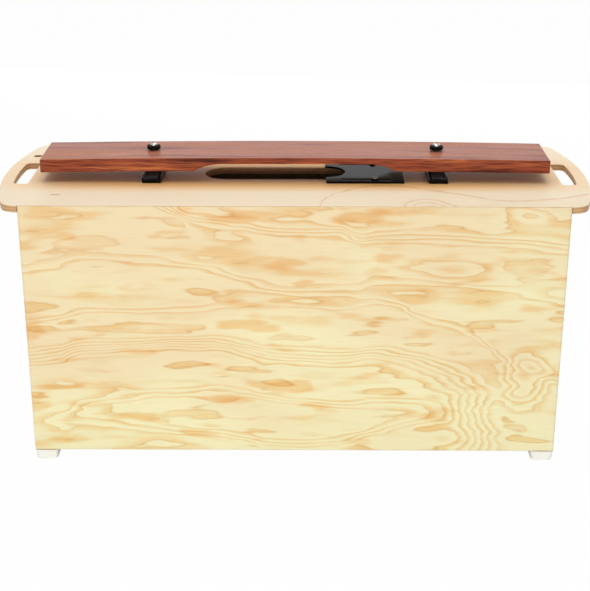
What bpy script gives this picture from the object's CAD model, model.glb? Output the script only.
"""Contrabass chime bar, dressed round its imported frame.

A rosewood bar floats on rubber buffers over a pine plywood resonator box. This
script gives every piece of the frame the finish of its real material, makes the
screws with their recesses and threads and the felt pads, and sets up a plain
white studio.

Metres, +Z up, +X to the right of someone in front of the box, the front panel at -Y.
"""

import logging
import math
from collections.abc import Mapping, Sequence
from dataclasses import dataclass
from enum import Enum

import bmesh
import bpy
from mathutils import Matrix, Vector, noise


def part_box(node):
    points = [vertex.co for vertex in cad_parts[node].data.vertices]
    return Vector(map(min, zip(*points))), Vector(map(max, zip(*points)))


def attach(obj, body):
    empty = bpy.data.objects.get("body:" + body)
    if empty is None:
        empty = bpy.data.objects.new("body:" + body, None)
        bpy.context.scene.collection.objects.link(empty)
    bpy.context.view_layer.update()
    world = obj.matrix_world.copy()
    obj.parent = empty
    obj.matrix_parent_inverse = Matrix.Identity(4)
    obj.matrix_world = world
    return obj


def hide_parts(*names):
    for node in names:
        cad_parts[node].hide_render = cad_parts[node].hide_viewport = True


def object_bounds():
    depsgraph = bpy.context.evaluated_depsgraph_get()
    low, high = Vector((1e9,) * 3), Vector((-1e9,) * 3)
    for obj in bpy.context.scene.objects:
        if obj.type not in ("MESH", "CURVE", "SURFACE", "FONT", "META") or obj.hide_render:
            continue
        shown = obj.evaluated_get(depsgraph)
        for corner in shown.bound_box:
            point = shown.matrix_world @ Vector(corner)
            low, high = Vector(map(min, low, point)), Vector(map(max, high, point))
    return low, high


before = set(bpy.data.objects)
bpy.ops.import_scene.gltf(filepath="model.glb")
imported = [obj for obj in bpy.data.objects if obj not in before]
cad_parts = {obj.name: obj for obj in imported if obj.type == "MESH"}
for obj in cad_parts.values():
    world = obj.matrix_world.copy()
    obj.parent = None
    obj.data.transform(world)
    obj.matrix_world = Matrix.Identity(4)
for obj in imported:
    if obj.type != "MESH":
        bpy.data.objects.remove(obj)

CAD_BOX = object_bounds()
MM = 0.001
HANDS = ("left", "right")
ENDS = ("front", "rear")
WHITE = "FFFFFF"
# Nearly all of a noise lies between these.
NOISE_LOW = 0.3
NOISE_HIGH = 0.7
# How squarely a surface faces out of its board where edge grain ends and face grain begins.
EDGE_ENDS = 0.62
FACE_BEGINS = 0.74

log = logging.getLogger("chime_bar")

Tree = bpy.types.NodeTree
Node = bpy.types.Node
Source = bpy.types.Node | bpy.types.NodeSocket
Links = Mapping[str, object] | Sequence[object]
Material = bpy.types.Material
Sizes = tuple[float, float, float]
Course = tuple[tuple[float, float], ...]
Ring = list[Vector]


# Colours and nodes


def linear(hex_colour: str) -> tuple[float, float, float, float]:
    """Turn an sRGB hex colour into the linear values that a shader takes.

    Args:
        hex_colour: Six hex digits, such as "D8A86A".

    Returns:
        Red, green, blue and an alpha of one, all linear.
    """
    shares = [int(hex_colour[place : place + 2], 16) / 255 for place in (0, 2, 4)]
    values = [s / 12.92 if s <= 0.04045 else ((s + 0.055) / 1.055) ** 2.4 for s in shares]
    return (values[0], values[1], values[2], 1.0)


def feed(tree: Tree, node: Node, links: Links) -> None:
    """Link or set a node's inputs.

    Args:
        tree: The tree that holds the node.
        node: The node.
        links: What feeds the first inputs in order, or any inputs by identifier: a
            plain value, a socket, or a node, which stands for its first output in use.
    """
    if not isinstance(links, Mapping):
        links = {socket.identifier: value for socket, value in zip(node.inputs, links)}
    for identifier, value in links.items():
        socket = next(s for s in node.inputs if s.identifier == identifier)
        if isinstance(value, Node):
            value = next(s for s in value.outputs if s.enabled)
        if isinstance(value, bpy.types.NodeSocket):
            tree.links.new(value, socket)
        else:
            socket.default_value = value


def add_node(tree: Tree, kind: str, links: Links, **settings: object) -> Node:
    """Add one node with its settings and links.

    Args:
        tree: The tree that gets the node.
        kind: The shader node's type, such as "Math".
        links: What feeds its inputs, as for feed.
        **settings: The node's own settings, such as its operation.

    Returns:
        The new node.
    """
    node = tree.nodes.new("ShaderNode" + kind)
    for name, value in settings.items():
        setattr(node, name, value)
    feed(tree, node, links)
    return node


def out_of(node: Node, identifier: str) -> bpy.types.NodeSocket:
    """Find a node's output by its identifier."""
    return next(s for s in node.outputs if s.identifier == identifier)


def set_stops(ramp: Node, stops: Sequence[tuple[float, str]], smooth: bool = False) -> None:
    """Give a colour ramp its stops.

    Args:
        ramp: The colour ramp node.
        stops: Place and sRGB hex colour of each stop, in order.
        smooth: Whether the ramp eases in and out of each stop.
    """
    elements = ramp.color_ramp.elements
    ramp.color_ramp.interpolation = "EASE" if smooth else "LINEAR"
    while len(elements) < len(stops):
        elements.new(1.0)
    for element, (place, hex_colour) in zip(elements, stops):
        element.position = place
        element.color = linear(hex_colour)


def drawn_noise(tree: Tree, place: Source, sizes: Sizes, detail: float) -> Node:
    """Draw noise with waves of a real size, longer in one direction than in another.

    Args:
        tree: The material's node tree.
        place: Coordinates in metres.
        sizes: Length of its waves in millimetres, in each direction.
        detail: How many layers of finer waves lie over the first.

    Returns:
        The noise.
    """
    drawn = add_node(tree, "Mapping", {"Vector": place, "Scale": [1 / (size * MM) for size in sizes]})
    return add_node(tree, "TexNoise", {"Vector": drawn, "Scale": 1.0, "Detail": detail})


def shade_fibres(
    tree: Tree, colour: Source, place: Source, sizes: Sizes, detail: float, shades: tuple[float, float]
) -> Node:
    """Darken and lighten a colour from fibre to fibre.

    Args:
        tree: The material's node tree.
        colour: The colour.
        place: Coordinates in metres.
        sizes: The fibres' sizes, as for drawn_noise.
        detail: How many layers of finer fibres lie over the first.
        shades: What the darkest and the lightest fibres multiply the colour by.

    Returns:
        The shaded colour.
    """
    fibres = drawn_noise(tree, place, sizes, detail)
    shade = add_node(tree, "MapRange", (fibres, NOISE_LOW, NOISE_HIGH, *shades))
    return add_node(tree, "VectorMath", {"Vector": colour, "Scale": shade}, operation="SCALE")


def total_of(tree: Tree, parts: Sequence[Source]) -> Source:
    """Add values up.

    Args:
        tree: The material's node tree.
        parts: The values.

    Returns:
        Their total.
    """
    total = parts[0]
    for part in parts[1:]:
        total = add_node(tree, "Math", (total, part), operation="ADD")
    return total


def new_material(name: str) -> tuple[Material, Tree, Node]:
    """Start a material.

    Args:
        name: The material's name.

    Returns:
        The material, its node tree and its shader.
    """
    material = bpy.data.materials.new(name)
    material.use_nodes = True
    tree = material.node_tree
    return material, tree, tree.nodes["Principled BSDF"]


class Grain(Enum):
    """World axes that run along the grain, across it, and through the board."""

    ACROSS_FRONT = ("X", "Z", "Y")
    ACROSS_SIDE = ("Y", "Z", "X")
    ALONG_FLAT = ("X", "Y", "Z")


def grain_space(tree: Tree, grain: Grain) -> tuple[Source, Source]:
    """Turn an object's own coordinates into grain coordinates.

    Args:
        tree: The material's node tree.
        grain: How the veneer lies.

    Returns:
        A vector along, across and through the board in metres, and how squarely
        the surface faces out of the board, from 0 on its edge to 1 on its face.
    """
    place = add_node(tree, "TexCoord", {})
    split = add_node(tree, "SeparateXYZ", (out_of(place, "Object"),))
    space = add_node(tree, "CombineXYZ", [out_of(split, axis) for axis in grain.value])
    facing = add_node(tree, "SeparateXYZ", (out_of(place, "Normal"),))
    return space, add_node(tree, "Math", (out_of(facing, grain.value[2]),), operation="ABSOLUTE")


# Finishes


@dataclass(frozen=True)
class Terrace:
    """A steep stretch of the figure, where many growth rings are cut close together.

    Attributes:
        course: Places along and across the board, in metres, that its middle passes.
        half_width: Half its width across the grain, in metres.
        rings: How many growth rings it crosses.
    """

    course: Course
    half_width: float
    rings: float


@dataclass(frozen=True)
class Plateau:
    """A broad flat part of the figure, with growth rings packed all round its rim.

    Attributes:
        place: Its middle, along and across the board, in metres.
        reach: Its half length and half height, in metres.
        squareness: 2 for an oval rim, more for a rim with corners.
        rim: Width of the rim, as a share of the reach.
        rings: How many growth rings its rim crosses.
    """

    place: tuple[float, float]
    reach: tuple[float, float]
    squareness: float
    rim: float
    rings: float


@dataclass(frozen=True)
class Dome:
    """A hill in the figure, which the knife cuts into nested ovals.

    Attributes:
        place: Its top, along and across the board, in metres.
        reach: Its half length and half height, in metres.
        rings: How many growth rings it rises, below zero for a hollow.
        tilt: Its turn in degrees, against the clock.
    """

    place: tuple[float, float]
    reach: tuple[float, float]
    rings: float
    tilt: float = 0.0


@dataclass(frozen=True)
class VeneerTones:
    """The colours of one veneer, from early wood to late wood.

    Attributes:
        early: Pale wood that grew in spring.
        middle: Wood half way through a ring.
        blotch: Tan wood where the knife runs along a ring.
        late: The ring's dark edge.
        warm: Tint of the warmer stretches, multiplied in.
        cool: Tint of the cooler stretches, multiplied in.
        tan: Tint of the soft tan clouds, multiplied in.
    """

    early: str
    middle: str
    blotch: str
    late: str
    warm: str
    cool: str
    tan: str


FACE_TONES = VeneerTones("FBF3D4", "F7EAC4", "F5DAA5", "EBC68C", "F9ECDD", "FEFFF0", "FAE4CA")
BOARD_TONES = VeneerTones("F6E8D0", "F4E3C9", "EFD3B0", "C99B6C", "FFF4EC", "FFFAF2", "FEFAF2")


@dataclass(frozen=True)
class RotaryPine:
    """Rotary-cut pine plywood under clear satin lacquer.

    The knife peels the log along its growth rings, so a face shows long flowing
    islands of pale early wood and tan late wood, each bounded on one side by a
    darker line. The edges show the plies, by turns along and across the grain.

    Attributes:
        name: The material's name.
        grain: How the face veneer lies.
        outer: World place of the outer face on the axis through the board.
        tones: The veneer's colours.
        terraces: Steep stretches of the figure.
        plateaus: Broad flat parts of the figure.
        domes: Hills and hollows of the figure.
        spots: Where soft tan clouds lie, with a share below zero in place of rings.
        sway: Places along the board, and how far the whole figure is lifted there, in metres.
        seed: Which stretch of the veneer is used, in metres of its noises' third direction.
        figure: How many rings the free ups and downs of the log cross.
        middle_count: The ring count half way between their tops and hollows.
        warm_toward: Direction in which the veneer turns warmer, per metre.
        stained: Where red-brown light from the bar above warms the board, inside its rim.
        stain: Tint of that light, multiplied in.
        ior: Index of refraction of the lacquer.
        shine: Level of the lacquer's plain reflection.
        thickness: The board's thickness in metres.
        plies: How many veneers are glued together.
    """

    name: str
    grain: Grain
    outer: float
    tones: VeneerTones = FACE_TONES
    terraces: tuple[Terrace, ...] = ()
    plateaus: tuple[Plateau, ...] = ()
    domes: tuple[Dome, ...] = ()
    spots: tuple[Dome, ...] = ()
    sway: Course = ()
    seed: float = 0.0
    figure: float = 2.2
    middle_count: float = 10.3
    warm_toward: tuple[float, float] = (0.0, 0.0)
    stained: Plateau | None = None
    stain: str = "FFD8A0"
    ior: float = 1.48
    shine: float = 0.35
    thickness: float = 10 * MM
    plies: int = 5

    def material(self) -> Material:
        """Build the material.

        Returns:
            The finished material.
        """
        material, tree, shader = new_material(self.name)
        space, square = grain_space(tree, self.grain)
        face, late = self.face_colour(tree, space, self.ring_count(tree, space))
        on_face = add_node(tree, "MapRange", (square, EDGE_ENDS, FACE_BEGINS))
        parts = {"Factor_Float": on_face, "A_Color": self.edge_colour(tree, space), "B_Color": face}
        colour = add_node(tree, "Mix", parts, data_type="RGBA")
        polish = add_node(tree, "MapRange", {"Value": late, "To Min": 0.42, "To Max": 0.35})
        relief = add_node(tree, "Bump", {"Strength": 0.12, "Distance": 0.15 * MM, "Height": late})
        feed(tree, shader, {"Base Color": colour, "Roughness": polish, "Normal": relief})
        feed(tree, shader, {"IOR": self.ior, "Specular IOR Level": self.shine})
        return material

    def ring_count(self, tree: Tree, space: Source) -> Source:
        """Count the growth rings from the board's middle to each place on it.

        Args:
            tree: The material's node tree.
            space: Grain coordinates in metres.

        Returns:
            The ring count, a whole number on each ring's dark edge.
        """
        flat = add_node(tree, "VectorMath", (space, (1, 1, 0)), operation="MULTIPLY")
        place = add_node(tree, "VectorMath", (flat, (0, 0, self.seed)), operation="ADD")
        warped = flat
        if self.sway:
            along = out_of(add_node(tree, "SeparateXYZ", (flat,)), "X")
            lift = add_node(tree, "CombineXYZ", {"Y": self.follow(tree, along, self.sway)})
            warped = add_node(tree, "VectorMath", (flat, lift), operation="SUBTRACT")
        waves = (
            ((142.9, 50.0, 1000.0), (30 * MM, 9 * MM, 0)),
            ((41.67, 13.33, 1000.0), (12 * MM, 4.5 * MM, 0)),
        )
        for sizes, amount in waves:
            drift = out_of(drawn_noise(tree, place, sizes, 0.6), "Color")
            shift = add_node(tree, "VectorMath", (drift, (0.5, 0.5, 0.5)), operation="SUBTRACT")
            warped = add_node(tree, "VectorMath", (shift, amount, warped), operation="MULTIPLY_ADD")
        split = add_node(tree, "SeparateXYZ", (warped,))
        parts = [self.free_figure(tree, place)]
        parts += [self.climb(tree, split, terrace) for terrace in self.terraces]
        parts += [self.rim(tree, warped, plateau) for plateau in self.plateaus]
        parts += [self.rise(tree, warped, dome) for dome in self.domes]
        return total_of(tree, parts)

    def free_figure(self, tree: Tree, place: Source) -> Source:
        """Sum the free ups and downs of the log, broad ones and small ones.

        Args:
            tree: The material's node tree.
            place: Grain coordinates with the seed in the third.

        Returns:
            The rings that they cross.
        """
        waves = (
            ((222.2, 45.45, 1000.0), 1.0),
            ((76.92, 14.29, 1000.0), 0.45),
            ((16.67, 3.03, 1000.0), 0.035),
        )
        total: Source | float = self.middle_count - self.figure * sum(share for _, share in waves)
        for sizes, share in waves:
            bumps = drawn_noise(tree, place, sizes, 1.0)
            total = add_node(tree, "Math", (bumps, 2 * share * self.figure, total), operation="MULTIPLY_ADD")
        return total

    def follow(self, tree: Tree, along: Source, course: Course) -> Source:
        """Follow a smooth course across the board.

        Args:
            tree: The material's node tree.
            along: The place along the board in metres.
            course: Places along and across the board that the course passes, in metres.

        Returns:
            The course's place across the board in metres.
        """
        low = course[0][0]
        high = course[-1][0]
        heights = [across for _, across in course]
        base = min(heights) - MM
        span = max(heights) + MM - base
        curve = add_node(tree, "FloatCurve", {"Value": add_node(tree, "MapRange", (along, low, high))})
        points = curve.mapping.curves[0].points
        while len(points) < len(course):
            points.new(0.5, 0.5)
        for point, (place, across) in zip(points, course):
            point.location = ((place - low) / (high - low), (across - base) / span)
        curve.mapping.update()
        return add_node(tree, "Math", (curve, span, base), operation="MULTIPLY_ADD")

    def climb(self, tree: Tree, split: Node, terrace: Terrace) -> Source:
        """Count the rings of one terrace.

        Args:
            tree: The material's node tree.
            split: The node that parts the warped grain coordinates.
            terrace: The terrace.

        Returns:
            The rings climbed at each place.
        """
        middle = self.follow(tree, out_of(split, "X"), terrace.course)
        above = add_node(tree, "Math", (out_of(split, "Y"), middle), operation="SUBTRACT")
        slope = (above, -terrace.half_width, terrace.half_width, 0.0, terrace.rings)
        return add_node(tree, "MapRange", slope, interpolation_type="SMOOTHSTEP")

    def rim(self, tree: Tree, warped: Source, plateau: Plateau) -> Source:
        """Count the rings of one plateau's rim.

        Args:
            tree: The material's node tree.
            warped: The warped grain coordinates.
            plateau: The plateau.

        Returns:
            The rings climbed outwards at each place.
        """
        power = plateau.squareness
        spot = {"Vector": warped, "Location": (*plateau.place, 0), "Scale": (*plateau.reach, 1)}
        local = add_node(tree, "Mapping", spot, vector_type="TEXTURE")
        upright = add_node(tree, "VectorMath", (local,), operation="ABSOLUTE")
        raised = add_node(tree, "VectorMath", (upright, (power, power, 1)), operation="POWER")
        joined = add_node(tree, "VectorMath", (raised, (1, 1, 0)), operation="DOT_PRODUCT")
        distance = add_node(tree, "Math", (joined, 1 / power), operation="POWER")
        slope = (distance, 1 - plateau.rim / 2, 1 + plateau.rim / 2, 0.0, plateau.rings)
        return add_node(tree, "MapRange", slope, interpolation_type="SMOOTHSTEP")

    def rise(self, tree: Tree, warped: Source, dome: Dome) -> Source:
        """Count the rings of one dome.

        Args:
            tree: The material's node tree.
            warped: The warped grain coordinates.
            dome: The dome.

        Returns:
            The rings risen at each place.
        """
        turn = (0, 0, math.radians(dome.tilt))
        spot = (warped, (*dome.place, 0), turn, (*dome.reach, 1))
        local = add_node(tree, "Mapping", spot, vector_type="TEXTURE")
        distance = add_node(tree, "VectorMath", (local,), operation="LENGTH")
        slope = (distance, 0.0, 1.0, dome.rings, 0.0)
        return add_node(tree, "MapRange", slope, interpolation_type="SMOOTHSTEP")

    def face_colour(self, tree: Tree, space: Source, rings: Source) -> tuple[Source, Source]:
        """Colour the face veneer from its ring count.

        Args:
            tree: The material's node tree.
            space: Grain coordinates in metres.
            rings: The ring count.

        Returns:
            The colour, and how far the place is through its ring.
        """
        tones = self.tones
        phase = add_node(tree, "Math", (rings,), operation="FRACT")
        growth = add_node(tree, "ValToRGB", (phase,))
        spring = ((0.0, tones.middle), (0.05, tones.early), (0.38, tones.early), (0.58, tones.middle))
        summer = ((0.72, tones.blotch), (0.86, tones.blotch), (0.94, tones.late), (1.0, tones.middle))
        set_stops(growth, spring + summer)
        strength = self.line_strength(tree, space, rings)
        lines = {"Factor_Float": strength, "A_Color": linear(tones.early), "B_Color": growth}
        colour = add_node(tree, "Mix", lines, data_type="RGBA")
        patches = drawn_noise(tree, space, (250.0, 111.1, 1000.0), 1.0)
        lean = add_node(tree, "VectorMath", (space, (*self.warm_toward, 0)), operation="DOT_PRODUCT")
        warmth = add_node(tree, "Math", (patches, lean), operation="SUBTRACT")
        tint = add_node(tree, "ValToRGB", (warmth,))
        set_stops(tint, ((0.0, tones.warm), (0.5, tones.cool)), smooth=True)
        clouds = drawn_noise(tree, space, (83.33, 20.83, 1000.0), 2.0)
        cover = total_of(tree, [clouds] + [self.rise(tree, space, spot) for spot in self.spots])
        tan = add_node(tree, "ValToRGB", (cover,))
        set_stops(tan, ((0.26, tones.tan), (0.41, WHITE)), smooth=True)
        tints = [tint, tan]
        if self.stained:
            clear = self.rim(tree, space, self.stained)
            stain = {"Factor_Float": clear, "A_Color": linear(self.stain), "B_Color": linear(WHITE)}
            tints.append(add_node(tree, "Mix", stain, data_type="RGBA"))
        for part in tints:
            colour = add_node(tree, "VectorMath", (colour, part), operation="MULTIPLY")
        # The real fibres are far finer. These are a millimetre wide, so that they show.
        return shade_fibres(tree, colour, space, (40.0, 1.111, 1.111), 2.0, (0.965, 1.015)), phase

    def line_strength(self, tree: Tree, space: Source, rings: Source) -> Source:
        """Give each ring's line its own strength, and let it fade in places.

        Args:
            tree: The material's node tree.
            space: Grain coordinates in metres.
            rings: The ring count.

        Returns:
            The strength, 1 for a line of full colour.
        """
        year = add_node(tree, "Math", (rings,), operation="FLOOR")
        lot = add_node(tree, "TexWhiteNoise", {"W": year}, noise_dimensions="1D")
        strength = add_node(tree, "MapRange", {"Value": lot, "To Min": 0.7, "To Max": 1.1})
        gaps = drawn_noise(tree, space, (62.5, 16.67, 1000.0), 2.0)
        fading = add_node(tree, "MapRange", (gaps, 0.34, 0.56, 0.45, 1.0))
        return add_node(tree, "Math", (strength, fading), operation="MULTIPLY")

    def edge_colour(self, tree: Tree, space: Source) -> Source:
        """Colour the board's edge, ply by ply.

        Args:
            tree: The material's node tree.
            space: Grain coordinates in metres.

        Returns:
            The edge's colour.
        """
        through = out_of(add_node(tree, "SeparateXYZ", (space,)), "Z")
        depth = add_node(tree, "Math", (through, self.outer), operation="SUBTRACT")
        inward = add_node(tree, "Math", (depth,), operation="ABSOLUTE")
        wander = drawn_noise(tree, space, (33.33, 33.33, 5.0), 1.0)
        wavy = add_node(tree, "Math", (wander, 0.5 * MM, inward), operation="MULTIPLY_ADD")
        pairs = add_node(tree, "Math", (wavy, self.plies / self.thickness / 2), operation="MULTIPLY")
        plies = add_node(tree, "ValToRGB", (add_node(tree, "Math", (pairs,), operation="FRACT"),))
        along = ((0.0, "C08E62"), (0.04, "DFBA8E"), (0.44, "E1BE94"), (0.50, "BC8A5E"))
        end_on = ((0.54, "CFA174"), (0.95, "CA9B6E"), (1.0, "B78558"))
        set_stops(plies, along + end_on)
        return shade_fibres(tree, plies, space, (11.11, 11.11, 1.429), 3.0, (0.84, 1.1))


@dataclass(frozen=True)
class Rosewood:
    """Oiled and polished rosewood.

    Dense red-brown heartwood with interlocked grain: on the quarter-sawn edges
    fine wavy orange and dark streaks, on the broad faces a calm pink-brown with
    long faint purple streaks, and fine open pores under an oiled polish that
    mirrors the studio softly at a low angle.

    Attributes:
        name: The material's name.
        light: Orange streaks.
        mid: The body of the wood.
        dark: Dark veins.
        broad: The broad faces' pink-brown.
        cloud: Tint of the purple streaks on the broad faces, multiplied in.
        ior: Index of refraction of the polish.
        shine: Level of the polish's plain reflection.
    """

    name: str = "polished_rosewood"
    light: str = "C97648"
    mid: str = "9E4F32"
    dark: str = "561F12"
    broad: str = "B87762"
    cloud: str = "BCA2AE"
    ior: float = 1.54
    shine: float = 0.1

    def material(self) -> Material:
        """Build the material.

        Returns:
            The finished material.
        """
        material, tree, shader = new_material(self.name)
        spot = add_node(tree, "TexCoord", {})
        place = out_of(spot, "Object")
        normal = add_node(tree, "SeparateXYZ", (out_of(spot, "Normal"),))
        upward = add_node(tree, "Math", (out_of(normal, "Z"),), operation="ABSOLUTE")
        broad = add_node(tree, "MapRange", (upward, EDGE_ENDS, FACE_BEGINS, 0.0, 0.72))
        veined, lines = self.edge_grain(tree, place)
        parts = {"Factor_Float": broad, "A_Color": veined, "B_Color": self.broad_face(tree, place)}
        grained = add_node(tree, "Mix", parts, data_type="RGBA")
        # Pores half a millimetre wide, about twice the real width, so that they show.
        pores = drawn_noise(tree, place, (7.143, 0.5263, 0.5263), 1.0)
        pit = add_node(tree, "MapRange", (pores, 0.66, 0.74, 1.0, 0.7))
        colour = add_node(tree, "VectorMath", {"Vector": grained, "Scale": pit}, operation="SCALE")
        polish = add_node(tree, "MapRange", (lines, NOISE_LOW, NOISE_HIGH, 0.31, 0.24))
        relief = add_node(tree, "Bump", {"Strength": 0.2, "Distance": 0.1 * MM, "Height": pit})
        feed(tree, shader, {"Base Color": colour, "Roughness": polish, "Normal": relief})
        feed(tree, shader, {"IOR": self.ior, "Specular IOR Level": self.shine})
        return material

    def edge_grain(self, tree: Tree, place: Source) -> tuple[Source, Source]:
        """Draw the wavy streaks of the quarter-sawn edges.

        Args:
            tree: The material's node tree.
            place: Coordinates in metres.

        Returns:
            The streaks' colour, and the fine lines in them.
        """
        drift = out_of(drawn_noise(tree, place, (55.56, 83.33, 55.56), 1.0), "Color")
        sway = (drift, (0, 8 * MM, 7 * MM), place)
        shift = add_node(tree, "VectorMath", sway, operation="MULTIPLY_ADD")
        base = add_node(tree, "ValToRGB", (drawn_noise(tree, shift, (166.7, 16.67, 5.263), 3.0),))
        set_stops(base, ((0.32, self.dark), (0.45, self.mid), (0.57, self.mid), (0.70, self.light)))
        lines = drawn_noise(tree, shift, (45.45, 3.333, 1.562), 2.0)
        streaks = add_node(tree, "ValToRGB", (lines,))
        set_stops(streaks, ((0.32, "A08078"), (0.47, "DDD0CA"), (0.58, WHITE), (0.70, "FFEFE0")))
        return add_node(tree, "VectorMath", (base, streaks), operation="MULTIPLY"), lines

    def broad_face(self, tree: Tree, place: Source) -> Source:
        """Draw the soft long streaks of the broad faces.

        Args:
            tree: The material's node tree.
            place: Coordinates in metres.

        Returns:
            The streaked colour.
        """
        clouds = add_node(tree, "ValToRGB", (drawn_noise(tree, place, (222.2, 21.74, 111.1), 4.0),))
        set_stops(clouds, ((0.33, self.cloud), (0.48, WHITE), (0.62, "FFECB8")), smooth=True)
        body = linear(self.broad)[:3]
        flat = add_node(tree, "VectorMath", (clouds, body), operation="MULTIPLY")
        return shade_fibres(tree, flat, place, (166.7, 2.381, 111.1), 2.0, (0.84, 1.1))


@dataclass(frozen=True)
class Moulded:
    """A moulded, pressed, planed or turned surface.

    It has an even colour with a slight mottle, a fine texture in the surface, and
    on square pieces edges that wear has left lighter. The texture is drawn at 0.3 to
    0.6 mm, coarser than the real one, so that it shows.

    Attributes:
        name: The material's name.
        dark: The darker colour of the mottle.
        light: The lighter colour of the mottle.
        roughness: Its lowest and highest roughness.
        mottle: Size of the mottle in metres.
        grit: Size of the fine texture in metres.
        relief: Depth of the fine texture in metres.
        ior: Index of refraction.
        specular: Level of its plain reflection.
        metallic: Whether it is bare metal.
        sheen: Strength of the fuzz on a fibrous surface.
        worn: Colour of the worn edges, or nothing.
    """

    name: str
    dark: str
    light: str
    roughness: tuple[float, float]
    mottle: float
    grit: float
    relief: float
    ior: float = 1.5
    specular: float = 0.5
    metallic: bool = False
    sheen: float = 0.0
    worn: str = ""

    def material(self) -> Material:
        """Build the material.

        Returns:
            The finished material.
        """
        material, tree, shader = new_material(self.name)
        spot = add_node(tree, "TexCoord", {})
        place = {"Vector": out_of(spot, "Object")}
        clouds = add_node(tree, "TexNoise", {**place, "Scale": 1 / self.mottle, "Detail": 3.0})
        colour = add_node(tree, "ValToRGB", (clouds,))
        set_stops(colour, ((0.35, self.dark), (0.65, self.light)))
        if self.worn:
            colour = self.wear(tree, out_of(spot, "Normal"), clouds, colour)
        polish = add_node(tree, "MapRange", (clouds, NOISE_LOW, NOISE_HIGH, *self.roughness))
        grains = add_node(tree, "TexNoise", {**place, "Scale": 1 / self.grit, "Detail": 2.0})
        relief = add_node(tree, "Bump", {"Strength": 0.6, "Distance": self.relief, "Height": grains})
        feed(tree, shader, {"Base Color": colour, "Roughness": polish, "Normal": relief})
        if self.metallic:
            feed(tree, shader, {"Metallic": 1.0})
        else:
            feed(tree, shader, {"IOR": self.ior, "Specular IOR Level": self.specular})
        if self.sheen:
            feed(tree, shader, {"Sheen Weight": self.sheen, "Sheen Roughness": 0.6})
        return material

    def wear(self, tree: Tree, normal: Source, clouds: Source, colour: Source) -> Source:
        """Lighten the eased edges of a square piece, where its surface faces between two axes.

        Args:
            tree: The material's node tree.
            normal: The way the surface faces.
            clouds: The mottle, which breaks the wear up.
            colour: The unworn colour.

        Returns:
            The colour with its worn edges.
        """
        upright = add_node(tree, "VectorMath", (normal,), operation="ABSOLUTE")
        split = add_node(tree, "SeparateXYZ", (upright,))
        wider = add_node(tree, "Math", (out_of(split, "X"), out_of(split, "Y")), operation="MAXIMUM")
        widest = add_node(tree, "Math", (wider, out_of(split, "Z")), operation="MAXIMUM")
        between = add_node(tree, "MapRange", (widest, 0.97, 0.75))
        broken = add_node(tree, "Math", (between, clouds), operation="MULTIPLY")
        parts = {"Factor_Float": broken, "A_Color": colour, "B_Color": linear(self.worn)}
        return add_node(tree, "Mix", parts, data_type="RGBA")


# ABS, injection moulded in a smooth mould: black, and a soft grey mirror at a low angle.
BLACK_PLASTIC = Moulded(
    "smooth_moulded_abs", "0A0808", "0F0D0D", (0.10, 0.14), 12 * MM, 0.5 * MM, 0.002 * MM,
    specular=0.05, worn="3A3938",
)
# The same plastic in the trays, with a coarser texture that keeps it deep black.
TRAY_PLASTIC = Moulded(
    "moulded_abs_tray", "060507", "0C0A0D", (0.32, 0.42), 8 * MM, 0.5 * MM, 0.01 * MM,
    specular=0.05, worn="232227",
)
# Moulded natural rubber: deep black and matt, with a faint grey bloom.
BLACK_RUBBER = Moulded(
    "moulded_black_rubber", "080605", "100D0C", (0.5, 0.66), 3 * MM, 0.4 * MM, 0.02 * MM, specular=0.06
)
# Moulded thermoplastic rubber: near white and matt, a little warmer where it has picked up dust.
WHITE_RUBBER = Moulded(
    "moulded_white_rubber", "FFFDF6", "FFFFFC", (0.5, 0.62), 6 * MM, 0.5 * MM, 0.02 * MM, worn=WHITE
)
# Pressed wool felt: blue-grey fibres that scatter light at their tips.
GREY_FELT = Moulded(
    "pressed_wool_felt", "2A2A33", "8C8E9A", (0.9, 1.0), 2.5 * MM, 0.5 * MM, 0.15 * MM,
    specular=0.1, sheen=0.12,
)
# Bright nickel over turned steel: a clear mirror with a faint haze.
NICKEL = Moulded(
    "nickel_plated_steel", "908E8A", "AAA8A4", (0.16, 0.26), 3 * MM, 0.3 * MM, 0.003 * MM, metallic=True
)
# Brass as it leaves the lathe: yellow, with a dull haze.
BRASS = Moulded(
    "turned_brass", "C49A4E", "DDB668", (0.28, 0.42), 3 * MM, 0.3 * MM, 0.01 * MM, metallic=True
)
# Planed beech: pale pink-brown with short flecks.
BEECH = Moulded(
    "planed_beech", "C39A70", "D9B58C", (0.5, 0.6), 8 * MM, 0.6 * MM, 0.03 * MM, worn="E6C8A2"
)


# The figure of the front panel and of the top board, drawn by eye, in metres along and across.
FRONT_SWAY = (
    (-0.380, -0.012), (-0.330, -0.006), (-0.290, 0.005), (-0.150, 0.010), (-0.070, 0.002),
    (0.000, -0.008), (0.050, -0.008), (0.120, 0.005), (0.200, 0.008), (0.380, 0.0),
)
TOP_COURSE = (
    (-0.380, 0.420), (-0.240, 0.410), (-0.170, 0.374), (-0.110, 0.350), (-0.030, 0.360),
    (0.050, 0.360), (0.100, 0.338), (0.240, 0.330), (0.380, 0.324),
)
UPPER_COURSE = (
    (-0.380, 0.304), (-0.250, 0.300), (-0.130, 0.290), (-0.040, 0.272), (0.100, 0.272), (0.380, 0.245),
)
MIDDLE_COURSE = (
    (-0.380, 0.225), (-0.300, 0.226), (-0.130, 0.227), (0.000, 0.246), (0.130, 0.240),
    (0.170, 0.218), (0.240, 0.196), (0.300, 0.150), (0.380, 0.120),
)
FRONT_TERRACES = (
    Terrace(TOP_COURSE, 0.016, 4.0),
    Terrace(UPPER_COURSE, 0.014, 2.0),
    Terrace(MIDDLE_COURSE, 0.010, 2.0),
)
FRONT_PLATEAUS = (
    Plateau((-0.170, 0.020), (0.430, 0.154), 3.6, 0.24, -6.0),
    Plateau((-0.060, 0.068), (0.270, 0.036), 1.6, 0.6, -3.0),
)
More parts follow.
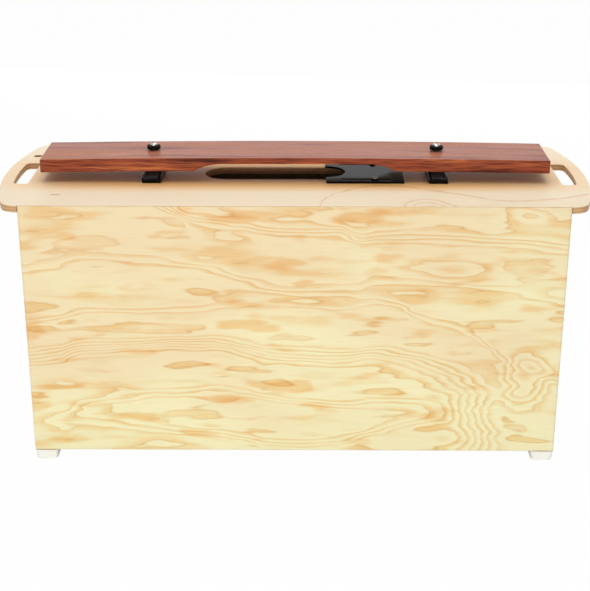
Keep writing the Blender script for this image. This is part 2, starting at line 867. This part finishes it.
FRONT_DOMES = (
    Dome((-0.365, 0.338), (0.075, 0.014), 1.2),
    Dome((-0.095, 0.336), (0.066, 0.015), 0.8),
    Dome((0.315, 0.368), (0.050, 0.014), -1.3),
    Dome((0.324, 0.118), (0.046, 0.066), 3.2, 4.0),
    Dome((0.225, 0.285), (0.110, 0.030), 1.5, -6.0),
)
FRONT_SPOTS = (
    Dome((-0.100, 0.253), (0.052, 0.026), -0.24),
    Dome((-0.095, 0.211), (0.068, 0.022), -0.24),
    Dome((-0.040, 0.203), (0.040, 0.016), -0.17),
    Dome((0.090, 0.222), (0.054, 0.030), -0.24, -24.0),
    Dome((-0.015, 0.306), (0.050, 0.022), -0.22),
    Dome((-0.090, 0.098), (0.062, 0.018), -0.24),
    Dome((-0.062, 0.124), (0.034, 0.015), -0.19, -20.0),
    Dome((0.005, 0.120), (0.040, 0.020), -0.22),
    Dome((-0.364, 0.088), (0.042, 0.050), -0.26),
    Dome((-0.366, 0.196), (0.030, 0.030), -0.22),
    Dome((-0.235, 0.206), (0.036, 0.012), -0.19),
    Dome((-0.310, 0.314), (0.050, 0.012), -0.19, 4.0),
    Dome((-0.100, 0.374), (0.060, 0.022), -0.22),
    Dome((0.085, 0.376), (0.080, 0.018), -0.22),
    Dome((-0.130, 0.281), (0.040, 0.014), -0.18),
    Dome((0.032, 0.086), (0.048, 0.012), -0.19),
    Dome((0.014, 0.273), (0.028, 0.014), -0.18),
    Dome((-0.220, 0.068), (0.075, 0.014), -0.17, 3.0),
    Dome((-0.135, 0.042), (0.060, 0.014), -0.17),
    Dome((0.345, 0.291), (0.040, 0.014), -0.16),
)
BOARD_COURSE = (
    (0.020, -0.180), (0.045, -0.125), (0.075, -0.082), (0.120, -0.062), (0.200, -0.088),
    (0.260, -0.115), (0.300, -0.130), (0.345, -0.122), (0.430, -0.090),
)
BOARD_TERRACES = (Terrace(BOARD_COURSE, 0.010, 1.0),)
BOARD_DOMES = (
    Dome((0.184, -0.160), (0.050, 0.056), 2.6),
    Dome((-0.335, -0.108), (0.030, 0.010), -0.5),
    Dome((-0.160, 0.125), (0.220, 0.050), 3.2, 4.0),
)


# Shapes


# Angle between two faces from which the edge between them stays sharp, in degrees.
SHARP = 32.0
# The middle of a rounded edge, as a share of its rounding.
ROUNDED = 0.3
# The bottom of a recess: its share of the floor's width and of the recess's depth.
RECESS_TIP = (0.25, 0.15)
# The bevel round a recess's mouth, as a share of the head's height.
MOUTH_BEVEL = 0.05
# The fillet under a head: its share of the shank's radius, and its height in metres.
FILLET = (1.06, 0.3 * MM)
# Rings of a domed head, from its recess at 0 to its rim at 1.
DOME_SHARES = (0.0, 0.04, 0.25, 0.5, 0.75, 0.93)
# Rings of the head's rim: their share of its radius and of its height.
RIM_PROFILE = ((0.985, 0.98), (1.0, 0.75), (1.0, 0.2), (0.97, 0.0))
# Rings of the pad's flat faces, from the hole at 0 to the outer edge at 1.
PAD_SHARES = (0.15, 0.35, 0.55, 0.75, 0.9, 1.0)


def ring_mesh(name: str, rings: Sequence[Ring], round_again: bool = False) -> bpy.types.Object:
    """Skin a row of closed rings with the same number of points.

    Args:
        name: The piece's name.
        rings: The rings in order.
        round_again: Whether the last ring joins the first, otherwise both are capped.

    Returns:
        The new piece, linked and smooth.
    """
    bm = bmesh.new()
    loops = [[bm.verts.new(point) for point in ring] for ring in rings]
    count = len(loops[0])
    pairs = list(zip(loops, loops[1:]))
    if round_again:
        pairs.append((loops[-1], loops[0]))
    for low, high in pairs:
        for place in range(count):
            after = (place + 1) % count
            bm.faces.new((low[place], low[after], high[after], high[place]))
    if not round_again:
        bm.faces.new(list(reversed(loops[0])))
        bm.faces.new(loops[-1])
    bmesh.ops.recalc_face_normals(bm, faces=bm.faces)
    mesh = bpy.data.meshes.new(name)
    bm.to_mesh(mesh)
    bm.free()
    mesh.shade_smooth()
    mesh.set_sharp_from_angle(angle=math.radians(SHARP))
    piece = bpy.data.objects.new(name, mesh)
    bpy.context.collection.objects.link(piece)
    return piece


def level_ring(turns: Sequence[float], reaches: Sequence[float], height: float) -> Ring:
    """Place a level ring of points round the upright axis.

    Args:
        turns: Each point's angle in radians.
        reaches: Each point's distance from the axis in metres.
        height: Their height in metres.

    Returns:
        The points.
    """
    return [Vector((r * math.cos(t), r * math.sin(t), height)) for t, r in zip(turns, reaches)]


class Recess(Enum):
    """The driver's recess in a screw's head, with its floor's share of its mouth."""

    HEX = 0.97
    CROSS = 0.62


@dataclass
class Screw:
    """A nickel-plated machine screw with a domed head, a driver's recess and a rolled thread.

    Attributes:
        recess: The driver's recess.
        recess_reach: From the middle to the recess's furthest point, in metres.
        recess_depth: Its depth in metres.
        head_height: Height of the head in metres.
        shank: Diameter of the shank in metres.
        pitch: Rise of the thread in one turn, in metres.
        threaded: Length of the thread in metres.
        rim: Height of the head's rim, as a share of the head's height.
        thread_depth: Depth of the thread, as a share of its pitch.
        wing: Half the width of a cross recess's wing, in metres.
        chamfer: Height of the cone at the tip, in metres.
        points: Points in each ring.
        rings_per_turn: Rings that draw one turn of the thread.
    """

    recess: Recess
    recess_reach: float
    recess_depth: float
    head_height: float
    shank: float
    pitch: float
    threaded: float
    rim: float = 0.3
    thread_depth: float = 0.61
    wing: float = 0.5 * MM
    chamfer: float = 0.5 * MM
    points: int = 36
    rings_per_turn: int = 4

    def recess_radius(self, turn: float) -> float:
        """Find the radius of the recess.

        Args:
            turn: Angle round the screw in radians.

        Returns:
            The radius in metres.
        """
        if self.recess is Recess.HEX:
            sector = math.pi / 3
            off = (turn + sector / 2) % sector - sector / 2
            return self.recess_reach * math.cos(sector / 2) / math.cos(off)
        quarter = math.pi / 2
        off = abs((turn + quarter / 2) % quarter - quarter / 2)
        return min(self.recess_reach, self.wing / max(math.sin(off), 0.01))

    def head(self, turns: Sequence[float], radius: float, length: float) -> list[Ring]:
        """Shape the head, from the bottom of its recess to its underside.

        Args:
            turns: Angles of a ring's points in radians.
            radius: The head's radius in metres.
            length: The screw's length in metres.

        Returns:
            The head's rings.
        """
        rim = self.rim * self.head_height
        mouth = [self.recess_radius(turn) for turn in turns]
        floor = length - self.recess_depth
        taper = self.recess.value
        narrow, deeper = RECESS_TIP
        rings = [
            level_ring(turns, [narrow * taper * r for r in mouth], floor - deeper * self.recess_depth),
            level_ring(turns, [taper * r for r in mouth], floor),
        ]
        for share in DOME_SHARES:
            reaches = [r + (radius - r) * share for r in mouth]
            ring = level_ring(turns, reaches, length)
            for point, reach in zip(ring, reaches):
                point.z -= (self.head_height - rim) * (reach / radius) ** 2
                if share == 0.0:
                    point.z -= MOUTH_BEVEL * self.head_height
            rings.append(ring)
        under = length - self.head_height
        for reach, height in RIM_PROFILE:
            rings.append(level_ring(turns, [reach * radius] * self.points, under + height * rim))
        return rings

    def thread(self, turns: Sequence[float], length: float) -> list[Ring]:
        """Shape the shank, from under the head to the tip.

        Args:
            turns: Angles of a ring's points in radians.
            length: The screw's length in metres.

        Returns:
            The shank's rings.
        """
        half = self.shank / 2
        depth = self.thread_depth * self.pitch
        under = length - self.head_height
        wider, lower = FILLET
        rings = [
            level_ring(turns, [wider * half] * self.points, under),
            level_ring(turns, [half] * self.points, under - lower),
        ]
        steps = int((self.threaded - self.chamfer) / self.pitch * self.rings_per_turn)
        for step in range(steps + 1):
            height = self.threaded - step * self.pitch / self.rings_per_turn
            fade = min(1.0, step / self.rings_per_turn, (steps - step) / self.rings_per_turn)
            reaches = []
            for turn in turns:
                phase = (height / self.pitch - turn / (2 * math.pi)) % 1.0
                reaches.append(half - depth * abs(2 * phase - 1) * fade)
            rings.append(level_ring(turns, reaches, height))
        rings.append(level_ring(turns, [half - self.chamfer] * self.points, 0.0))
        return rings

    def build(self, node: str, head_up: bool) -> bpy.types.Object:
        """Build the screw where its CAD node is.

        Args:
            node: The CAD node that it stands for.
            head_up: Whether the head is at the top.

        Returns:
            The finished piece.
        """
        low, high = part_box(node)
        length = high.z - low.z
        turns = [2 * math.pi * place / self.points for place in range(self.points)]
        rings = self.head(turns, (high.x - low.x) / 2, length) + self.thread(turns, length)
        piece = ring_mesh(f"{node}_threaded", rings)
        middle = (low + high) / 2
        tip = Vector((middle.x, middle.y, low.z if head_up else high.z))
        turned = Matrix.Identity(4) if head_up else Matrix.Rotation(math.pi, 4, "X")
        piece.data.transform(Matrix.Translation(tip) @ turned)
        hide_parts(node)
        return piece


@dataclass
class FeltPad:
    """A pressed felt pad with soft edges and a hole for the sleeve.

    Attributes:
        corner: Radius of its corners in metres.
        edge: How far its edges are rounded, in metres.
        fluff: How far its surface wanders, in metres.
        clumps: How many clumps of fibres lie in a metre.
        hole: Radius of the hole in metres.
        spacing: Distance between the points along its sides, in metres.
    """

    corner: float = 1.2 * MM
    edge: float = 0.6 * MM
    fluff: float = 0.12 * MM
    clumps: float = 900.0
    hole: float = 4.8 * MM
    spacing: float = 3.0 * MM

    def outline(self, half: Vector, inset: float, height: float) -> Ring:
        """Draw the pad's outline, against the clock from the middle of its right side.

        Args:
            half: Half the pad's size in metres.
            inset: How far the outline is drawn in, in metres.
            height: The height of its points in metres.

        Returns:
            The outline's points.
        """
        wide = half.x - self.corner
        deep = half.y - self.corner
        reach = self.corner - inset
        corners = ((1, 1), (-1, 1), (-1, -1), (1, -1))
        ring: Ring = []
        for quarter, (side, end) in enumerate(corners):
            for step in range(5):
                turn = math.pi / 2 * (quarter + step / 4)
                x = side * wide + reach * math.cos(turn)
                y = end * deep + reach * math.sin(turn)
                ring.append(Vector((x, y, height)))
            start = ring[-1]
            side, end = corners[(quarter + 1) % 4]
            turn = math.pi / 2 * (quarter + 1)
            x = side * wide + reach * math.cos(turn)
            y = end * deep + reach * math.sin(turn)
            stop = Vector((x, y, height))
            count = max(2, round(2 * (deep if quarter % 2 else wide) / self.spacing))
            ring += [start.lerp(stop, place / count) for place in range(1, count)]
        return ring

    def build(self, node: str) -> bpy.types.Object:
        """Build the pad where its CAD node is.

        Args:
            node: The CAD node that it stands for.

        Returns:
            The finished piece.
        """
        low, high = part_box(node)
        half = (high - low) / 2
        points = self.outline(half, 0.0, 0.0)
        count = len(points)
        start = next(place for place in range(count) if points[place].y >= 0)
        turns = [2 * math.pi * (place - start) / count for place in range(count)]
        eased = ROUNDED * self.edge
        rings: list[Ring] = []
        for side in (1, -1):
            levels = [
                level_ring(turns, [self.hole + grow] * count, side * (half.z - drop))
                for grow, drop in ((0.0, self.edge), (eased, eased), (self.edge, 0.0))
            ]
            inner = levels[-1]
            outer = self.outline(half, self.edge, side * half.z)
            for share in PAD_SHARES:
                levels.append([a.lerp(b, share) for a, b in zip(inner, outer)])
            levels.append(self.outline(half, eased, side * (half.z - eased)))
            levels.append(self.outline(half, 0.0, side * (half.z - self.edge)))
            rings += levels if side > 0 else list(reversed(levels))
        for ring in rings:
            for point in ring:
                drift = noise.noise(point * self.clumps)
                point.z -= math.copysign(self.fluff * (0.5 + 0.5 * drift), point.z)
                point += (low + high) / 2
        pad = ring_mesh(f"{node}_pad", rings, round_again=True)
        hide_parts(node)
        return pad


def dress(material: Material, *nodes: str) -> None:
    """Give CAD nodes their material and report them.

    Args:
        material: The finished material.
        *nodes: The nodes' names.
    """
    for name in nodes:
        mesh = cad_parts[name].data
        mesh.materials.clear()
        mesh.materials.append(material)
        log.info("%s: %s", name, material.name)


def finish_piece(piece: bpy.types.Object, material: Material, body: str) -> None:
    """Give a new piece its material and its body, and report it.

    Args:
        piece: The new piece.
        material: Its finished material.
        body: The CAD body that it moves with.
    """
    piece.data.materials.append(material)
    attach(piece, body)
    log.info("%s: %s, %d faces", piece.name, material.name, len(piece.data.polygons))


# The sub-assemblies


@dataclass
class ResonatorBox:
    """Pine plywood box with its handled top board and the blocks inside.

    Attributes:
        half_length: Half the box's length in metres, without the ears.
        warmer: Direction in which the upright panels' veneer turns warmer, per metre.
    """

    half_length: float = 0.375
    warmer: tuple[float, float] = (0.0, 1.3)

    def build(self) -> None:
        """Give each panel its own stretch of veneer."""
        low, high = CAD_BOX
        front = RotaryPine(
            "front_pine_veneer", Grain.ACROSS_FRONT, low.y,
            terraces=FRONT_TERRACES, plateaus=FRONT_PLATEAUS, domes=FRONT_DOMES, spots=FRONT_SPOTS,
            sway=FRONT_SWAY, figure=1.5, warm_toward=(-0.2, 1.3),
        )
        rear = RotaryPine(
            "rear_pine_veneer", Grain.ACROSS_FRONT, high.y,
            terraces=FRONT_TERRACES[:2],
            domes=(Dome((-0.150, 0.120), (0.240, 0.090), 5.0), Dome((0.2, 0.23), (0.12, 0.05), 3.0)),
            seed=3.0, figure=1.5, warm_toward=self.warmer,
        )
        left = RotaryPine(
            "left_pine_veneer", Grain.ACROSS_SIDE, -self.half_length,
            domes=(Dome((0.02, 0.200), (0.110, 0.120), 5.0),),
            seed=5.0, figure=1.2, warm_toward=self.warmer,
        )
        right = RotaryPine(
            "right_pine_veneer", Grain.ACROSS_SIDE, self.half_length,
            domes=(Dome((-0.04, 0.140), (0.150, 0.080), 4.0),),
            seed=7.0, figure=1.2, warm_toward=self.warmer,
        )
        bottom = RotaryPine(
            "bottom_pine_veneer", Grain.ALONG_FLAT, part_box("bottom_panel")[0].z, seed=9.0, figure=1.6
        )
        board = RotaryPine(
            "board_pine_veneer", Grain.ALONG_FLAT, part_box("top_board")[1].z, BOARD_TONES,
            terraces=BOARD_TERRACES, domes=BOARD_DOMES, seed=11.0, figure=0.35,
            stained=Plateau((0.0, 0.0), (0.380, 0.078), 6.0, 0.6, 1.0), shine=0.2,
        )
        dress(front.material(), "front_panel")
        dress(rear.material(), "rear_panel")
        dress(left.material(), "left_side_panel")
        dress(right.material(), "right_side_panel")
        dress(bottom.material(), "bottom_panel")
        dress(board.material(), "top_board")
        dress(BEECH.material(), "left_screw_block", "right_screw_block")


@dataclass
class Feet:
    """Four moulded feet, each held by a screw up into the bottom panel.

    Attributes:
        screw: The foot screw.
    """

    screw: Screw

    def build(self, nickel: Material) -> None:
        """Dress the feet and make their screws.

        Args:
            nickel: The screws' plating.
        """
        white = WHITE_RUBBER.material()
        for hand in HANDS:
            for end in ENDS:
                dress(white, f"{end}_{hand}_foot")
                finish_piece(self.screw.build(f"{end}_{hand}_foot_screw", head_up=False), nickel, "box")


@dataclass
class Suspension:
    """What holds one end of the bar: rest, felt, buffer, sleeve, collar, screw and insert.

    Attributes:
        hand: Which end of the bar.
        screw: The bar screw.
        pad: The felt pad.
    """

    hand: str
    screw: Screw
    pad: FeltPad

    def build(self, plastic: Material, felt: Material, rubber: Material) -> None:
        """Dress the rest and what is soft, and make the felt.

        Args:
            plastic: The rest's plastic.
            felt: The pad's felt.
            rubber: The rubber of the buffer and the collar.
        """
        dress(plastic, f"{self.hand}_bar_rest")
        dress(rubber, f"{self.hand}_rest_buffer", f"{self.hand}_rubber_collar")
        finish_piece(self.pad.build(f"{self.hand}_rest_felt"), felt, "box")

    def build_metal(self, nickel: Material, brass: Material) -> None:
        """Dress the sleeve and the insert, and make the screw.

        Args:
            nickel: The plating of the screw and the sleeve.
            brass: The insert's brass.
        """
        dress(nickel, f"{self.hand}_spacer_sleeve")
        dress(brass, f"{self.hand}_threaded_insert")
        finish_piece(self.screw.build(f"{self.hand}_bar_screw", head_up=True), nickel, "box")


@dataclass
class ToneBar:
    """The rosewood bar.

    Attributes:
        wood: Its finish.
    """

    wood: Rosewood

    def build(self) -> None:
        """Dress the bar."""
        dress(self.wood.material(), "tone_bar")


@dataclass
class TuningSlide:
    """The notched slide over the sound slot, with its clamp screws, washers and inserts.

    Attributes:
        screw: The clamp screw.
    """

    screw: Screw

    def build(self, nickel: Material, brass: Material) -> None:
        """Dress the slide and its washers and make its screws.

        Args:
            nickel: The screws' plating.
            brass: The inserts' brass.
        """
        plastic = BLACK_PLASTIC.material()
        dress(plastic, "tuning_slide")
        for end in ENDS:
            dress(plastic, f"{end}_slide_washer")
            dress(brass, f"{end}_slide_insert")
            screw = self.screw.build(f"{end}_slide_screw", head_up=True)
            finish_piece(screw, nickel, f"{end}_clamp_screw")


@dataclass
class Softbox:
    """A rectangular soft lamp.

    Attributes:
        name: The lamp's name.
        place: Where it hangs, in metres.
        target: What it points at.
        size: Its width and height in metres.
        power: Its power in watts.
        colour: The colour of its light.
    """

    name: str
    place: tuple[float, float, float]
    target: tuple[float, float, float]
    size: tuple[float, float]
    power: float
    colour: str = WHITE

    def build(self) -> None:
        """Hang the lamp."""
        data = bpy.data.lights.new(self.name, "AREA")
        data.shape = "RECTANGLE"
        data.size, data.size_y = self.size
        data.energy = self.power
        data.color = linear(self.colour)[:3]
        lamp = bpy.data.objects.new(self.name, data)
        bpy.context.collection.objects.link(lamp)
        lamp.location = self.place
        aim = Vector(self.target) - Vector(self.place)
        lamp.rotation_euler = aim.to_track_quat("-Z", "Y").to_euler()


@dataclass
class Studio:
    """Plain white studio with soft light, and the camera of the photograph.

    Attributes:
        softboxes: The lamps.
        place: The camera's place in metres.
        pitch: How far it looks down, in degrees.
        yaw: How far it looks to the left, in degrees.
        roll: Its turn about its own axis, in degrees.
        lens: Its focal length in millimetres.
        sensor: Width of its sensor in millimetres.
        horizon: Strength of the diffuse light from the horizon.
        zenith: Strength of the diffuse light from straight above.
        floor_reach: From the floor's middle to its sides, in metres.
        floor_white: How much light the floor throws back.
        floor_glow: How much of what is seen of the floor is plain white, so that shadows stay faint.
    """

    softboxes: tuple[Softbox, ...]
    place: tuple[float, float, float] = (0.0095, -1.8724, 0.9281)
    pitch: float = 21.407
    yaw: float = 0.285
    roll: float = 0.066
    lens: float = 81.30
    sensor: float = 36.0
    horizon: float = 0.22
    zenith: float = 0.42
    floor_reach: float = 30.0
    floor_white: float = 0.8
    floor_glow: float = 0.98

    def build(self) -> None:
        """Make the camera, the lamps, the world and the floor."""
        self.add_camera()
        self.add_world()
        self.add_floor()
        for softbox in self.softboxes:
            softbox.build()

    def add_camera(self) -> None:
        """Put the camera where the photograph's straight edges say it stood."""
        data = bpy.data.cameras.new("camera")
        data.sensor_fit = "HORIZONTAL"
        data.sensor_width = self.sensor
        data.lens = self.lens
        camera = bpy.data.objects.new("camera", data)
        bpy.context.collection.objects.link(camera)
        yaw = Matrix.Rotation(math.radians(self.yaw), 3, "Z")
        pitch = Matrix.Rotation(math.radians(90 - self.pitch), 3, "X")
        roll = Matrix.Rotation(math.radians(self.roll), 3, "Z")
        camera.location = self.place
        camera.rotation_euler = (yaw @ pitch @ roll).to_euler()
        bpy.context.scene.camera = camera

    def seen_directly(self, tree: Tree) -> Node:
        """Tell camera, mirror and glass rays from the rays that light the object.

        Args:
            tree: The node tree of the world or of the floor.

        Returns:
            One for a camera, glossy or transmission ray, otherwise zero.
        """
        path = add_node(tree, "LightPath", {})
        direct = out_of(path, "Is Camera Ray")
        for kind in ("Is Glossy Ray", "Is Transmission Ray"):
            rays = {"Value": direct, "Value_001": out_of(path, kind)}
            direct = add_node(tree, "Math", rays, operation="MAXIMUM")
        return direct

    def add_world(self) -> None:
        """White where it is seen, and dimmer, most of all low down, where it lights the object."""
        world = bpy.data.worlds.new("studio")
        bpy.context.scene.world = world
        world.use_nodes = True
        tree = world.node_tree
        place = add_node(tree, "TexCoord", {})
        split = add_node(tree, "SeparateXYZ", {"Vector": out_of(place, "Generated")})
        height = {"Value": out_of(split, "Z"), "To Min": self.horizon, "To Max": self.zenith}
        sky = {"A_Float": add_node(tree, "MapRange", height), "B_Float": 1.0}
        strength = add_node(tree, "Mix", {**sky, "Factor_Float": self.seen_directly(tree)})
        feed(tree, tree.nodes["Background"], {"Color": linear(WHITE), "Strength": strength})

    def add_floor(self) -> None:
        """A white floor that keeps the object's shadow."""
        mesh = bpy.data.meshes.new("floor")
        bm = bmesh.new()
        bmesh.ops.create_grid(bm, x_segments=1, y_segments=1, size=self.floor_reach)
        bm.to_mesh(mesh)
        bm.free()
        floor = bpy.data.objects.new("floor", mesh)
        bpy.context.collection.objects.link(floor)
        material, tree, shader = new_material("white_studio_floor")
        tree.nodes.remove(shader)
        matt = add_node(tree, "BsdfDiffuse", {"Color": (*[self.floor_white] * 3, 1.0)})
        glow = add_node(tree, "Emission", {"Color": linear(WHITE), "Strength": 1.0})
        seen = {"Value": self.seen_directly(tree), "Value_001": self.floor_glow}
        share = add_node(tree, "Math", seen, operation="MULTIPLY")
        mixed = add_node(tree, "MixShader", {"Fac": share, "Shader": matt, "Shader_001": glow})
        feed(tree, tree.nodes["Material Output"], {"Surface": mixed})
        mesh.materials.append(material)


def main() -> None:
    """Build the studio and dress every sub-assembly."""
    logging.basicConfig(level=logging.INFO, format="%(message)s")
    bpy.context.scene.view_settings.view_transform = "Standard"
    key = Softbox("overhead_softbox", (0.0, 0.35, 2.2), (0.0, 0.0, 0.39), (1.8, 2.6), 31.5)
    fill = Softbox("front_softbox", (-0.2, -2.4, 0.30), (0.0, -0.16, 0.2), (2.8, 0.6), 29.0, "FFFCF5")
    rear = Softbox("rear_softbox", (0.3, 2.4, 0.25), (0.0, 0.16, 0.2), (2.8, 0.5), 16.0, "FFFCF5")
    Studio((key, fill, rear)).build()
    nickel = NICKEL.material()
    brass = BRASS.material()
    rubber = BLACK_RUBBER.material()
    plastic = TRAY_PLASTIC.material()
    felt = GREY_FELT.material()
    small_screw = Screw(
        Recess.CROSS, recess_reach=2.1 * MM, recess_depth=1.7 * MM, head_height=2.6 * MM,
        shank=4 * MM, pitch=0.7 * MM, threaded=9 * MM,
    )
    bar_screw = Screw(
        Recess.HEX, recess_reach=2.4 * MM, recess_depth=2.6 * MM, head_height=4.2 * MM,
        shank=6 * MM, pitch=1.0 * MM, threaded=24 * MM,
    )
    ResonatorBox().build()
    Feet(small_screw).build(nickel)
    for hand in HANDS:
        suspension = Suspension(hand, bar_screw, FeltPad())
        suspension.build(plastic, felt, rubber)
        suspension.build_metal(nickel, brass)
    ToneBar(Rosewood()).build()
    TuningSlide(small_screw).build(nickel, brass)


if __name__ == "__main__":
    main()
